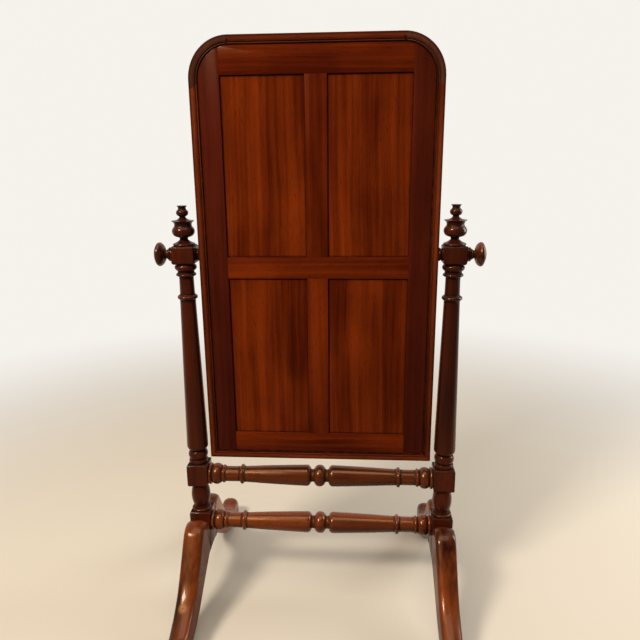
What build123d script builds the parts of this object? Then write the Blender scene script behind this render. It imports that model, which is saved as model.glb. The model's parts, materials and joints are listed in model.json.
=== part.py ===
"""Cheval floor mirror: a framed plate on two screw pivots between turned posts, on four scroll legs.

The origin is on the floor under the middle of the stand. +Z is up, +X is to the right of a person
standing in front of the glass, and the glass faces -Y. All lengths are in millimetres.
"""

from build123d import *

import os
from math import atan2, degrees

# Stand
POST_X = 336.0  # post axis from the middle plane
BLOCK = 56.0  # square section of the post's blocks
BLOCK_BEVEL = 3.5
LOWER_BLOCK = (146.0, 259.0)  # height range of each square block
MIDDLE_BLOCK = (338.0, 403.0)
TOP_BLOCK = (957.0, 1003.0)
LOWER_STRETCHER_Z = 221.0
UPPER_STRETCHER_Z = 367.0
TENON_R = 12.0  # round tenons of the stretchers
TENON_LENGTH = 34.0
SPIGOT_R = 6.0  # spigots of the finials
SPIGOT_LENGTH = 12.0
DOWEL_R = 5.0
DOWEL_IN_BLOCK = 14.0
DOWEL_IN_LEG = 26.0
DOWEL_Z = (168.0, 206.0)
LEG_REACH = 384.0  # from the post axis past the toe
LEG_TOE_WIDTH = 47.0  # each leg tapers to this from the width of the block
LEG_EDGE_R = 13.0

# Pivots
PIVOT_Z = 980.0
SCREW_R = 4.5
SCREW_CLEARANCE = 0.05  # radial, so that the screw turns in what it passes through
SIDE_GAP = 0.3  # between faces that turn past each other
SCREW_IN_FRAME = 15.0
SCREW_IN_KNOB = 24.0
SPACER_R = 16.5
COLLAR_LENGTH = 12.2
KNOB_RIM_R = 27.5
KNOB_DOME = 8.0
PLATE_HEIGHT = 66.0
PLATE_WIDTH = 20.0
PLATE_THICK = 2.5
BOSS_R = 7.0
BOSS_LENGTH = 16.0
PLATE_SCREW_Z = 24.0  # wood screws above and below the pivot
PLATE_SCREW_HEAD_R = 3.5
PLATE_SCREW_R = 1.6
PLATE_SCREW_LENGTH = 16.0
COUNTERSINK = 34.0  # degrees, taper of the screw heads

# Mirror frame
FRAME_WIDTH = 593.0
FRAME_BOTTOM = 426.0
FRAME_TOP = 1484.0
CORNER_R = 96.0
BAND = 22.0  # width of the moulding round the back
REBATE = 35.0  # inward to the wall of the glass rebate
SIGHT = 44.0  # inward to the sight edge
FRONT_Y = -17.0
BACK_Y = 17.0
LEDGE_Y = 2.0  # front face of the panelled back
LIP_Y = -5.0  # front face of the plate
SIDE_JOINT = 118.0  # top corner joints, down from the top and in from the side
TOP_JOINT = 100.0
JOINT_SLANT = 30.0

# Panelled back
BACK_GAP = 0.5
BACK_FACE_Y = 15.0
STILE = 50.0
MUNTIN = 52.0
TOP_RAIL_Z = (1398.0, 1462.0)
MIDDLE_RAIL_Z = (921.0, 975.0)
BOTTOM_RAIL_Z = (448.0, 501.0)
PANEL_Y = (5.0, 11.0)
PANEL_IN_GROOVE = 7.0
RAIL_TENON = 26.0
RAIL_SHOULDER = 10.0
MUNTIN_TENON = 18.0
BACK_TENON_Y = (4.0, 12.0)

# Plate
PLATE_GAP = 1.0
PLATE_Y = (-5.0, -1.0)
BLOCK_SIZE = (40.0, 12.0)  # glazing block, along and across the rebate
SIDE_BLOCK_Z = (560.0, 800.0, 1040.0, 1280.0)
END_BLOCK_X = 120.0

HALF = BLOCK / 2
INNER_FACE = POST_X - HALF
OUTER_FACE = POST_X + HALF
HALF_FRAME = FRAME_WIDTH / 2
STILE_OUT = HALF_FRAME - BAND - BACK_GAP
STILE_IN = HALF_FRAME - BAND - STILE
BORE_R = SCREW_R + SCREW_CLEARANCE
SIDES = {"left": -1, "right": 1}
ENDS = {"front": -1, "back": 1}

os.makedirs("parts", exist_ok=True)


def draw(steps):
    """Draw joined lines in the current line builder; a step of two points is an arc through the first."""
    here = steps[0]
    for step in steps[1:]:
        if isinstance(step[0], tuple):
            ThreePointArc(here, step[0], step[1])
            here = step[1]
        else:
            Line(here, step)
            here = step


def save(part, name):
    """Label a finished piece and write its STEP file."""
    part.label = name
    export_step(part, f"parts/{name}.step")


def upright(x):
    """Plane whose x runs up a vertical axis at x, and whose y is the radius."""
    return Plane(origin=(x, 0, 0), x_dir=(0, 0, 1), z_dir=(0, 1, 0))


def sideways(side, z):
    """Plane whose x runs outwards from the middle along X at height z, and whose y is the radius."""
    return Plane(origin=(0, 0, z), x_dir=(side, 0, 0), z_dir=(0, -side, 0))


# Outlines of turned pieces: (distance along the axis, radius), pairs of points are arcs.
POST_OUTLINE = [
    (146, 0), (146, 20), (259, 20), (259, 24.5),
    ((262, 26.4), (265, 24.5)), (266, 22), ((272, 20.2), (278, 22)),
    ((304, 26.2), (336, 19.5)), (404, 19.5), (404, 24),
    ((409.5, 25.8), (415, 24)), (416, 22.5), (418, 22.5),
    ((430, 26.3), (440, 21)), (443, 20.6), ((447.5, 26.5), (456, 28.8)),
    (861, 19.9), ((864.5, 20.8), (866, 22.5)), ((870.5, 25.6), (875, 22.5)), ((876.5, 20), (880, 19)),
    (922, 18.2), ((924.5, 20), (925.5, 22.5)), ((929, 25.4), (932.5, 22.5)),
    ((935.5, 20.9), (939, 22)), (941, 24), ((948, 27.8), (955, 24)), (957, 20), (1003, 20), (1003, 0),
]
FINIAL_OUTLINE = [
    (991, 0), (991, SPIGOT_R), (1003, SPIGOT_R), (1003, 26),
    ((1005.5, 27.9), (1008, 26)), ((1012, 17.5), (1017, 11)), (1020, 9.9),
    ((1022.5, 11.5), (1024, 14.5)), ((1036.5, 28), (1049, 22.6)),
    ((1056, 21.5), (1062.5, 27)), (1064.5, 27.4), ((1067, 14), (1072.5, 7.4)), (1075, 8),
    ((1084.5, 15), (1091, 10.6)), ((1096, 9.6), (1099.5, 12)), (1101, 12), (1101, 0),
]
STRETCHER_HALF = [
    (0, 29.3), ((10.9, 25.6), (15.4, 18.5)), ((19.5, 17.2), (24.5, 18.5)),
    ((27.8, 25.5), (36, 28.8)), (206, 21.6), ((208.5, 22.4), (209.5, 24)),
    ((214, 27), (218.5, 24)), ((219.5, 21.6), (223, 20.8)), (260, 20.8),
    ((261, 21.2), (261.5, 22.5)), ((265.5, 24.6), (269.5, 22.5)), (271, 21),
    ((286, 28.9), (298, 23)), (299.5, 23), ((303, 29.3), (306.5, 25)), (INNER_FACE, 25),
    (INNER_FACE, TENON_R), (INNER_FACE + TENON_LENGTH, TENON_R), (INNER_FACE + TENON_LENGTH, 0),
]
COLLAR_OUTLINE = [
    (OUTER_FACE, 0), (OUTER_FACE, 18), ((OUTER_FACE + 3, 19.6), (OUTER_FACE + 6, 18)),
    (OUTER_FACE + 7, 16), ((OUTER_FACE + 9.6, 17.4), (OUTER_FACE + COLLAR_LENGTH, 15)),
    (OUTER_FACE + COLLAR_LENGTH, 0),
]
SPACER_FACE = HALF_FRAME + SIDE_GAP
SPACER_OUTLINE = [
    (SPACER_FACE, 0), (SPACER_FACE, 14.5), ((SPACER_FACE + 3, SPACER_R), (SPACER_FACE + 6, 14.5)),
    (SPACER_FACE + 7, 13.5), (INNER_FACE - 3, 14), (INNER_FACE - 2, SPACER_R),
    (INNER_FACE, SPACER_R), (INNER_FACE, 0),
]
KNOB_FACE = OUTER_FACE + COLLAR_LENGTH + SIDE_GAP
KNOB_RIM = KNOB_FACE + 29  # where the domed end of the knob begins
dome_sphere = (KNOB_RIM_R**2 + KNOB_DOME**2) / (2 * KNOB_DOME)
dome_middle = KNOB_RIM + KNOB_DOME - dome_sphere + (dome_sphere**2 - KNOB_RIM_R**2 / 4) ** 0.5
KNOB_OUTLINE = [
    (KNOB_FACE, 0), (KNOB_FACE, 12.5), ((KNOB_FACE + 2, 13.4), (KNOB_FACE + 4, 12)),
    ((KNOB_FACE + 7.5, 10.4), (KNOB_FACE + 11, 12)), ((KNOB_FACE + 14, 23), (KNOB_FACE + 22, 29.9)),
    ((KNOB_FACE + 25.5, 29.9), (KNOB_RIM, KNOB_RIM_R)),
    ((dome_middle, KNOB_RIM_R / 2), (KNOB_RIM + KNOB_DOME, 0)),
]

# Scroll leg from the block's face: corners (distance from the post axis, height) and their radii.
LEG_TOP = [(HALF, 227), (68, 286), (200, 115), (298, 66), (350, 77), (385, 44), (371, 0)]
LEG_TOP_R = [46, 220, 90, 26, 24]
LEG_UNDER = [(330, 0), (305, 0), (185, 46), (46, 146), (HALF, 146)]
LEG_UNDER_R = [60, 220, 18]


def frame_section():
    """Draw the mirror frame's section: x inwards from the outer side, y from the front to the back."""
    draw([
        (0, FRONT_Y + 3), ((0.9, FRONT_Y + 0.9), (3, FRONT_Y)), (15, FRONT_Y), (15, FRONT_Y + 1.4),
        (16.5, FRONT_Y + 1.4), ((27.5, -13.8), (35.5, -9)), (37, -9), ((40.5, -12.2), (SIGHT, -9)),
        (SIGHT, LIP_Y), (REBATE, LIP_Y), (REBATE, LEDGE_Y), (BAND, LEDGE_Y), (BAND, 14.4),
        ((19.4, BACK_Y), (16.8, 14.4)), (15.6, 14.4), (15.6, BACK_Y), (1.5, BACK_Y),
        ((0.4, BACK_Y - 0.4), (0, BACK_Y - 1.5)), (0, FRONT_Y + 3),
    ])


def side_plane(side, z):
    """Plane across a side of the frame at height z, with x inwards and y to the back."""
    return Plane(origin=(side * HALF_FRAME, 0, z), x_dir=(-side, 0, 0), z_dir=(0, 0, -side))


def top_plane(x):
    """Plane across the top of the frame at x, with x downwards and y to the back."""
    return Plane(origin=(x, 0, FRAME_TOP), x_dir=(0, 0, -1), z_dir=(1, 0, 0))


def bottom_plane(x):
    """Plane across the bottom of the frame at x, with x upwards and y to the back."""
    return Plane(origin=(x, 0, FRAME_BOTTOM), x_dir=(0, 0, 1), z_dir=(-1, 0, 0))


def side_joint(side):
    """Plane of the slanted joint between a side and its top corner, facing the corner."""
    lean = Vector(side, 0, 0).rotate(Axis.Y, -side * (90 - JOINT_SLANT))
    return Plane(origin=(side * HALF_FRAME, 0, FRAME_TOP - SIDE_JOINT), z_dir=lean)


def top_joint(side):
    """Plane of the slanted joint between a top corner and the top, facing the middle."""
    lean = Vector(-side, 0, 0).rotate(Axis.Y, -side * JOINT_SLANT)
    return Plane(origin=(side * (HALF_FRAME - TOP_JOINT), 0, FRAME_TOP), z_dir=lean)


def bottom_mitre(side):
    """Plane of the mitre at a bottom corner, facing the side."""
    return Plane(origin=(side * HALF_FRAME, 0, FRAME_BOTTOM), z_dir=(side, 0, 1))


def square_block(x, low, high):
    """Square block of a post, bevelled round its two ends."""
    with BuildPart() as block:
        with BuildSketch(Plane.XY.offset(low)):
            with Locations((x, 0)):
                Rectangle(BLOCK, BLOCK)
        extrude(amount=high - low)
        chamfer(block.edges().filter_by(Axis.Z, reverse=True), BLOCK_BEVEL)
    return block.part


# Posts, their finials and the collars at the pivots
for hand, side in SIDES.items():
    x = side * POST_X
    with BuildPart() as post:
        with BuildSketch(upright(x)):
            with BuildLine():
                draw(POST_OUTLINE + [POST_OUTLINE[0]])
            make_face()
        revolve(axis=Axis((x, 0, 0), (0, 0, 1)))
        for low, high in (LOWER_BLOCK, MIDDLE_BLOCK, TOP_BLOCK):
            add(square_block(x, low, high))
        for z in (LOWER_STRETCHER_Z, UPPER_STRETCHER_Z):
            with BuildSketch(Plane.YZ.offset(side * INNER_FACE)):
                with Locations((0, z)):
                    Circle(TENON_R)
            extrude(amount=side * TENON_LENGTH, mode=Mode.SUBTRACT)
        with BuildSketch(Plane.YZ.offset(side * INNER_FACE)):
            with Locations((0, PIVOT_Z)):
                Circle(BORE_R)
        extrude(amount=side * BLOCK, mode=Mode.SUBTRACT)
        with BuildSketch(Plane.XY.offset(TOP_BLOCK[1])):
            with Locations((x, 0)):
                Circle(SPIGOT_R)
        extrude(amount=-SPIGOT_LENGTH, mode=Mode.SUBTRACT)
        for end in ENDS.values():
            with BuildSketch(Plane.XZ.offset(-end * HALF)):
                with Locations(*[(x, z) for z in DOWEL_Z]):
                    Circle(DOWEL_R)
            extrude(amount=end * DOWEL_IN_BLOCK, mode=Mode.SUBTRACT)
    save(post.part, f"{hand}_post")

    with BuildPart() as finial:
        with BuildSketch(upright(x)):
            with BuildLine():
                draw(FINIAL_OUTLINE + [FINIAL_OUTLINE[0]])
            make_face()
        revolve(axis=Axis((x, 0, 0), (0, 0, 1)))
    save(finial.part, f"{hand}_finial")

    for name, outline in (("collar", COLLAR_OUTLINE), ("spacer", SPACER_OUTLINE)):
        with BuildPart() as ring:
            with BuildSketch(sideways(side, PIVOT_Z)):
                with BuildLine():
                    draw(outline + [outline[0]])
                make_face()
            revolve(axis=Axis((0, 0, PIVOT_Z), (1, 0, 0)))
            with BuildSketch(Plane.YZ.offset(side * outline[0][0])):
                with Locations((0, PIVOT_Z)):
                    Circle(BORE_R)
            extrude(amount=side * (outline[-1][0] - outline[0][0]), mode=Mode.SUBTRACT)
        save(ring.part, f"{hand}_{name}")

# Stretchers, alike on both sides of the middle
for name, z in (("upper", UPPER_STRETCHER_Z), ("lower", LOWER_STRETCHER_Z)):
    with BuildPart() as stretcher:
        with BuildSketch(sideways(1, z)):
            with BuildLine():
                draw([(0, 0)] + STRETCHER_HALF + [(0, 0)])
            make_face()
        revolve(axis=Axis((0, 0, z), (1, 0, 0)))
        mirror(about=Plane.YZ)
    save(stretcher.part, f"{name}_stretcher")


def is_level(one, other):
    """Tell whether two points differ only in X."""
    return abs(one.Y - other.Y) < 0.1 and abs(one.Z - other.Z) < 0.1


# Legs, two to a post, dowelled to the front and back of its lower block
taper_angle = degrees(atan2(LEG_REACH - HALF, (BLOCK - LEG_TOE_WIDTH) / 2))
for hand, side in SIDES.items():
    for face, end in ENDS.items():
        leg_plane = Plane(origin=(side * POST_X, 0, 0), x_dir=(0, end, 0), z_dir=(end, 0, 0))
        with BuildPart() as leg:
            with BuildSketch(leg_plane):
                with BuildLine():
                    top_line = FilletPolyline(*LEG_TOP, radius=LEG_TOP_R)
                    Line(LEG_TOP[-1], LEG_UNDER[0])
                    FilletPolyline(*LEG_UNDER, radius=LEG_UNDER_R)
                    Line(LEG_UNDER[-1], LEG_TOP[0])
                make_face()
            extrude(amount=HALF, both=True)
            with BuildSketch():
                with Locations((side * POST_X, end * (HALF + LEG_REACH) / 2)):
                    Trapezoid(BLOCK, LEG_REACH - HALF, taper_angle, rotation=0 if end > 0 else 180)
            extrude(amount=LOWER_BLOCK[1], mode=Mode.INTERSECT)
            upper = [leg_plane.from_local_coords(edge.center()) for edge in top_line.edges()]
            cheeks = leg.faces().sort_by(Axis.X)
            fillet([edge for cheek in (cheeks[0], cheeks[-1]) for edge in cheek.edges()
                    if any(is_level(edge.center(), point) for point in upper)], LEG_EDGE_R)
            with BuildSketch(Plane.XZ.offset(-end * HALF)):
                with Locations(*[(side * POST_X, z) for z in DOWEL_Z]):
                    Circle(DOWEL_R)
            extrude(amount=-end * DOWEL_IN_LEG, mode=Mode.SUBTRACT)
        save(leg.part, f"{hand}_{face}_leg")

with BuildPart() as dowels:
    for end in ENDS.values():
        with BuildSketch(Plane.XZ.offset(-end * (HALF + DOWEL_IN_LEG))):
            with Locations(*[(side * POST_X, z) for side in SIDES.values() for z in DOWEL_Z]):
                Circle(DOWEL_R)
        extrude(amount=end * (DOWEL_IN_LEG + DOWEL_IN_BLOCK))
save(dowels.part, "leg_dowels")

# Clamp knobs and the pivot screws fixed in them
for hand, side in SIDES.items():
    with BuildPart() as knob:
        with BuildSketch(sideways(side, PIVOT_Z)):
            with BuildLine():
                draw(KNOB_OUTLINE + [KNOB_OUTLINE[0]])
            make_face()
        revolve(axis=Axis((0, 0, PIVOT_Z), (1, 0, 0)))
        with BuildSketch(Plane.YZ.offset(side * KNOB_FACE)):
            with Locations((0, PIVOT_Z)):
                Circle(SCREW_R)
        extrude(amount=side * SCREW_IN_KNOB, mode=Mode.SUBTRACT)
    save(knob.part, f"{hand}_knob")

    with BuildPart() as pivot_screw:
        with BuildSketch(Plane.YZ.offset(side * (HALF_FRAME - SCREW_IN_FRAME))):
            with Locations((0, PIVOT_Z)):
                Circle(SCREW_R)
        extrude(amount=side * (KNOB_FACE + SCREW_IN_KNOB - HALF_FRAME + SCREW_IN_FRAME))
        chamfer(pivot_screw.edges().sort_by(Axis.X)[0 if side > 0 else -1], 1)
    save(pivot_screw.part, f"{hand}_pivot_screw")

# Frame of the mirror: sides, top, bottom and the two round corners
for hand, side in SIDES.items():
    with BuildPart() as frame_side:
        with BuildSketch(side_plane(side, FRAME_BOTTOM)):
            with BuildLine():
                frame_section()
            make_face()
        extrude(amount=FRAME_TOP - FRAME_BOTTOM, dir=(0, 0, 1))
        split(bisect_by=side_joint(side), keep=Keep.BOTTOM)
        split(bisect_by=bottom_mitre(side), keep=Keep.TOP)
        with BuildSketch(Plane.YZ.offset(side * HALF_FRAME)):
            with Locations((0, PIVOT_Z)):
                SlotOverall(PLATE_HEIGHT, PLATE_WIDTH, rotation=90)
        extrude(amount=-side * PLATE_THICK, mode=Mode.SUBTRACT)
        with BuildSketch(Plane.YZ.offset(side * HALF_FRAME)):
            with Locations((0, PIVOT_Z)):
                Circle(BOSS_R)
        extrude(amount=-side * (PLATE_THICK + BOSS_LENGTH), mode=Mode.SUBTRACT)
        with BuildSketch(Plane.YZ.offset(side * HALF_FRAME)):
            with Locations((0, PIVOT_Z - PLATE_SCREW_Z), (0, PIVOT_Z + PLATE_SCREW_Z)):
                Circle(PLATE_SCREW_R)
        extrude(amount=-side * PLATE_SCREW_LENGTH, mode=Mode.SUBTRACT)
    save(frame_side.part, f"frame_{hand}_side")

    corner_x, corner_z = side * (HALF_FRAME - CORNER_R), FRAME_TOP - CORNER_R
    with BuildPart() as corner:
        with BuildSketch(side_plane(side, corner_z)) as corner_section:
            with BuildLine():
                frame_section()
            make_face()
        revolve(axis=Axis((corner_x, 0, corner_z), (0, -side, 0)), revolution_arc=90)
        extrude(corner_section.sketch, amount=SIDE_JOINT, dir=(0, 0, -1))
        with BuildSketch(top_plane(corner_x)) as top_section:
            with BuildLine():
                frame_section()
            make_face()
        extrude(top_section.sketch, amount=TOP_JOINT, dir=(-side, 0, 0))
        split(bisect_by=side_joint(side), keep=Keep.TOP)
        split(bisect_by=top_joint(side), keep=Keep.BOTTOM)
    save(corner.part, f"frame_top_{hand}_corner")

    with BuildPart() as pivot_plate:
        with BuildSketch(Plane.YZ.offset(side * HALF_FRAME)):
            with Locations((0, PIVOT_Z)):
                SlotOverall(PLATE_HEIGHT, PLATE_WIDTH, rotation=90)
        extrude(amount=-side * PLATE_THICK)
        with BuildSketch(Plane.YZ.offset(side * HALF_FRAME)):
            with Locations((0, PIVOT_Z)):
                Circle(BOSS_R)
        extrude(amount=-side * (PLATE_THICK + BOSS_LENGTH))
        with BuildSketch(Plane.YZ.offset(side * HALF_FRAME)):
            with Locations((0, PIVOT_Z)):
                Circle(BORE_R)
        extrude(amount=-side * (PLATE_THICK + BOSS_LENGTH), mode=Mode.SUBTRACT)
        with BuildSketch(Plane.YZ.offset(side * HALF_FRAME)):
            with Locations((0, PIVOT_Z - PLATE_SCREW_Z), (0, PIVOT_Z + PLATE_SCREW_Z)):
                Circle(PLATE_SCREW_HEAD_R)
        extrude(amount=-side * PLATE_THICK, taper=COUNTERSINK, mode=Mode.SUBTRACT)
    save(pivot_plate.part, f"{hand}_pivot_plate")

with BuildPart() as plate_screws:
    for side in SIDES.values():
        with BuildSketch(Plane.YZ.offset(side * HALF_FRAME)):
            with Locations((0, PIVOT_Z - PLATE_SCREW_Z), (0, PIVOT_Z + PLATE_SCREW_Z)):
                Circle(PLATE_SCREW_HEAD_R)
        extrude(amount=-side * PLATE_THICK, taper=COUNTERSINK)
        with BuildSketch(Plane.YZ.offset(side * (HALF_FRAME - PLATE_THICK))):
            with Locations((0, PIVOT_Z - PLATE_SCREW_Z), (0, PIVOT_Z + PLATE_SCREW_Z)):
                Circle(PLATE_SCREW_R)
        extrude(amount=-side * (PLATE_SCREW_LENGTH - PLATE_THICK))
save(plate_screws.part, "pivot_plate_screws")

with BuildPart() as frame_top:
    with BuildSketch(top_plane(-HALF_FRAME)):
        with BuildLine():
            frame_section()
        make_face()
    extrude(amount=FRAME_WIDTH, dir=(1, 0, 0))
    split(bisect_by=top_joint(-1), keep=Keep.TOP)
    split(bisect_by=top_joint(1), keep=Keep.TOP)
save(frame_top.part, "frame_top_rail")

with BuildPart() as frame_bottom:
    with BuildSketch(bottom_plane(-HALF_FRAME)):
        with BuildLine():
            frame_section()
        make_face()
    extrude(amount=FRAME_WIDTH, dir=(1, 0, 0))
    split(bisect_by=bottom_mitre(-1), keep=Keep.BOTTOM)
    split(bisect_by=bottom_mitre(1), keep=Keep.BOTTOM)
save(frame_bottom.part, "frame_bottom_rail")


def slab(x_range, y_range, z_range, mode=Mode.ADD):
    """Add or cut a box, given its range along each axis, in the current part."""
    ranges = (x_range, y_range, z_range)
    with Locations(tuple((low + high) / 2 for low, high in ranges)):
        Box(*[high - low for low, high in ranges], mode=mode)


def on_side(side, near, far):
    """Range in X on one side of the middle, from near it to far from it."""
    return (near, far) if side > 0 else (-far, -near)


# Panelled back. Each panel stands in grooves as wide as itself, and each mortise is as large as its tenon.
PANEL_X = (MUNTIN / 2 - PANEL_IN_GROOVE, STILE_IN + PANEL_IN_GROOVE)
PANEL_ROWS = {
    "upper": (MIDDLE_RAIL_Z[1] - PANEL_IN_GROOVE, TOP_RAIL_Z[0] + PANEL_IN_GROOVE),
    "lower": (BOTTOM_RAIL_Z[1] - PANEL_IN_GROOVE, MIDDLE_RAIL_Z[0] + PANEL_IN_GROOVE),
}
MUNTIN_ROWS = {
    "upper": (MIDDLE_RAIL_Z[1], TOP_RAIL_Z[0]),
    "lower": (BOTTOM_RAIL_Z[1], MIDDLE_RAIL_Z[0]),
}
RAILS = {
    "top": (TOP_RAIL_Z, (TOP_RAIL_Z[0] + RAIL_SHOULDER, TOP_RAIL_Z[1] - 3 * RAIL_SHOULDER)),
    "middle": (MIDDLE_RAIL_Z, (MIDDLE_RAIL_Z[0] + RAIL_SHOULDER, MIDDLE_RAIL_Z[1] - RAIL_SHOULDER)),
    "bottom": (BOTTOM_RAIL_Z, (BOTTOM_RAIL_Z[0] + RAIL_SHOULDER, BOTTOM_RAIL_Z[1] - RAIL_SHOULDER)),
}
BACK_Y_RANGE = (LEDGE_Y, BACK_FACE_Y)


def back_face(x_range, z_range):
    """Sketch the part of the back, with its round top corners, that lies in a range of X and Z."""
    low, high = FRAME_BOTTOM + BAND + BACK_GAP, FRAME_TOP - BAND - BACK_GAP
    with Locations((0, (low + high) / 2)):
        Rectangle(2 * STILE_OUT, high - low)
    fillet(vertices().sort_by(Axis.Y)[-2:], CORNER_R - BAND - BACK_GAP)
    with Locations((sum(x_range) / 2, sum(z_range) / 2)):
        Rectangle(x_range[1] - x_range[0], z_range[1] - z_range[0], mode=Mode.INTERSECT)


def cut_panels():
    """Cut the space of every panel from the current part."""
    for side in SIDES.values():
        for row in PANEL_ROWS.values():
            slab(on_side(side, *PANEL_X), PANEL_Y, row, mode=Mode.SUBTRACT)


def rail_tenons(side, z_range, mode):
    """Add or cut the tenon on one end of a rail of the back."""
    slab(on_side(side, STILE_IN, STILE_IN + RAIL_TENON), BACK_TENON_Y, z_range, mode=mode)


def muntin_tenons(row, mode):
    """Add or cut the tenons on both ends of a muntin."""
    low, high = MUNTIN_ROWS[row]
    width = (RAIL_SHOULDER - MUNTIN / 2, MUNTIN / 2 - RAIL_SHOULDER)
    slab(width, BACK_TENON_Y, (low - MUNTIN_TENON, low), mode=mode)
    slab(width, BACK_TENON_Y, (high, high + MUNTIN_TENON), mode=mode)


for hand, side in SIDES.items():
    with BuildPart() as stile:
        with BuildSketch(Plane.XZ.offset(-BACK_FACE_Y)):
            back_face(on_side(side, STILE_IN, HALF_FRAME), (FRAME_BOTTOM, FRAME_TOP))
        extrude(amount=BACK_FACE_Y - LEDGE_Y)
        cut_panels()
        for _, tenon_range in RAILS.values():
            rail_tenons(side, tenon_range, Mode.SUBTRACT)
    save(stile.part, f"back_{hand}_stile")

for name, (face_range, tenon_range) in RAILS.items():
    with BuildPart() as rail:
        with BuildSketch(Plane.XZ.offset(-BACK_FACE_Y)):
            back_face((-STILE_IN, STILE_IN), face_range)
        extrude(amount=BACK_FACE_Y - LEDGE_Y)
        for side in SIDES.values():
            rail_tenons(side, tenon_range, Mode.ADD)
        cut_panels()
        for row in MUNTIN_ROWS:
            muntin_tenons(row, Mode.SUBTRACT)
    save(rail.part, f"back_{name}_rail")

for row, z_range in MUNTIN_ROWS.items():
    with BuildPart() as muntin:
        slab((-MUNTIN / 2, MUNTIN / 2), BACK_Y_RANGE, z_range)
        muntin_tenons(row, Mode.ADD)
        cut_panels()
    save(muntin.part, f"back_{row}_muntin")

for row, z_range in PANEL_ROWS.items():
    for hand, side in SIDES.items():
        with BuildPart() as panel:
            slab(on_side(side, *PANEL_X), PANEL_Y, z_range)
        save(panel.part, f"back_{row}_{hand}_panel")

# Plate and the blocks that hold it forward against the lip of the frame
with BuildPart() as plate:
    with BuildSketch(Plane.XZ.offset(-PLATE_Y[1])):
        low, high = FRAME_BOTTOM + REBATE + PLATE_GAP, FRAME_TOP - REBATE - PLATE_GAP
        with Locations((0, (low + high) / 2)):
            Rectangle(2 * (HALF_FRAME - REBATE - PLATE_GAP), high - low)
        fillet(vertices().sort_by(Axis.Y)[-2:], CORNER_R - REBATE - PLATE_GAP)
    extrude(amount=PLATE_Y[1] - PLATE_Y[0])
save(plate.part, "mirror_plate")

length, width = BLOCK_SIZE
block_x = HALF_FRAME - REBATE - width / 2
block_y = (PLATE_Y[1] + LEDGE_Y) / 2
block_thick = LEDGE_Y - PLATE_Y[1]
end_block_z = (FRAME_BOTTOM + REBATE + width / 2, FRAME_TOP - REBATE - width / 2)
with BuildPart() as glazing:
    for side in SIDES.values():
        with Locations(*[(side * block_x, block_y, z) for z in SIDE_BLOCK_Z]):
            Box(width, block_thick, length)
        with Locations(*[(side * END_BLOCK_X, block_y, z) for z in end_block_z]):
            Box(length, block_thick, width)
save(glazing.part, "glazing_blocks")
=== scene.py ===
"""Cheval floor mirror in polished mahogany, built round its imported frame.

Each operator makes one piece or one group of like pieces. +Z is up, the glass faces -Y and the
panelled back faces +Y. Outlines are in millimetres and meshes in metres.
"""

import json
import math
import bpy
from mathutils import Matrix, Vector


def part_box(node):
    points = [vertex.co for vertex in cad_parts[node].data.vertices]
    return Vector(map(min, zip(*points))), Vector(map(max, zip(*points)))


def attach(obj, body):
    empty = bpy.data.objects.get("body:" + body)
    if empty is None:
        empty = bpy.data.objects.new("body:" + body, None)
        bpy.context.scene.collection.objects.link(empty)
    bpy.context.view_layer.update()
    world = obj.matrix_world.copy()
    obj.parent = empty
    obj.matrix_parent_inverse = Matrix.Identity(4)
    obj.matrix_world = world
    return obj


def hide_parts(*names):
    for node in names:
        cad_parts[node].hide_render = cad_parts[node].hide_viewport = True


bl_info = {
    "name": "Cheval Floor Mirror",
    "version": (1, 0, 0),
    "blender": (4, 5, 0),
    "location": "View3D > Sidebar > Cheval Mirror",
    "description": "Builds a tilting floor mirror with turned posts, scroll legs and a panelled back",
    "category": "Add Mesh",
}

import bmesh
import bpy
from mathutils import Matrix, Vector

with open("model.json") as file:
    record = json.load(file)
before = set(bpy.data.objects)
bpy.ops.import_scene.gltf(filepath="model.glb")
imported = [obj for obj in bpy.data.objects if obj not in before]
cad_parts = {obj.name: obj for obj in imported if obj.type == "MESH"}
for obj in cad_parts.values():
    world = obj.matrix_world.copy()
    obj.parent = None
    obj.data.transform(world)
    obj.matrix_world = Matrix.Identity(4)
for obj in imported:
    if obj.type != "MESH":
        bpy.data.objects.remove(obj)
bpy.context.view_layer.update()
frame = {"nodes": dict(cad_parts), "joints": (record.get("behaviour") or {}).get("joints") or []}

MM = 0.001
SIDES = {"left": -1, "right": 1}
ENDS = {"front": -1, "back": 1}
ARC_STEP = math.radians(9)  # between the points of a curved outline
LINE_STEP = 4.0  # between the points of a straight outline, in mm
SHARP = math.radians(32)
DEEP = 0.9  # hollow, in mm, at which the dirt and painted shade are full
NEIGHBOURS = 40  # points to each side that the masks of hollows and proud edges look at,
WINDOW = 5.0  # as far as this distance
SQUARE = ((-1, -1), (1, -1), (1, 1), (-1, 1))


def box_mm(name):
    """Lowest and highest corner of a CAD node in millimetres."""
    low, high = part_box(name)
    return low / MM, high / MM


FRAME_LOW, FRAME_HIGH = box_mm("frame_right_side")
FOOT_LOW, FOOT_HIGH = box_mm("right_back_leg")
POST_X = (FOOT_LOW.x + FOOT_HIGH.x) / 2
BLOCK = 2 * FOOT_LOW.y
INNER_FACE = POST_X - BLOCK / 2
OUTER_FACE = POST_X + BLOCK / 2
HALF_FRAME = FRAME_HIGH.x
FRAME_BOTTOM = FRAME_LOW.z
FRAME_TOP = box_mm("frame_top_rail")[1].z
PIVOT_Z = next(joint["pos_m"][2] for joint in frame["joints"] if joint["name"] == "mirror_tilt") / MM

# Square blocks of the post: (bottom, top)
BLOCKS = ((146, 259), (338, 403), (957, 1003))

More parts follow.
